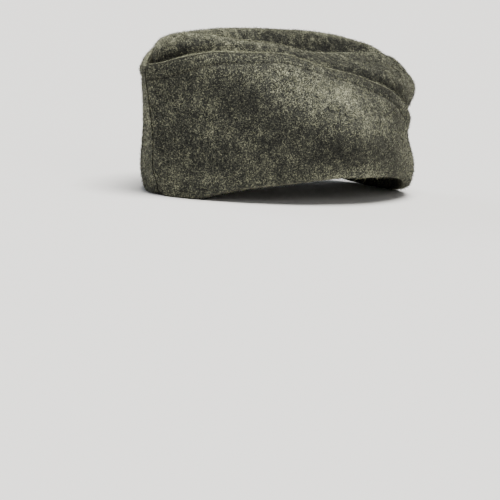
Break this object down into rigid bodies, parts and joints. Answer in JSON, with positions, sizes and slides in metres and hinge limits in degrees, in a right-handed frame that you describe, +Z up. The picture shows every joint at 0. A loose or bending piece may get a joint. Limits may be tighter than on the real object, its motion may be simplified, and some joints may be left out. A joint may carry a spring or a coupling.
{
  "type": "garrison cap",
  "caption": "Soft brimless side cap of fulled grey-green wool with a creased fore-and-aft top and tall turn-ups sewn at front and back.",
  "frame": {"origin": "on the surface the cap stands on, in the middle plane under the middle of its length", "axes": "-Y to the front, +X to the wearer's left, +Z up"},
  "size_m": [0.1678, 0.2366, 0.113],
  "materials": {
    "crown_wool": "fulled wool, dark grey-green mottled with pale fibres, matt and slightly fuzzy",
    "turn_up_wool": "the same fulled wool, with a turned-in and stitched free edge"
  },
  "bodies": {
    "root": {"crown_left": "crown_wool", "crown_right": "crown_wool", "turn_up_left": "turn_up_wool", "turn_up_right": "turn_up_wool"}
  },
  "joints": []
}
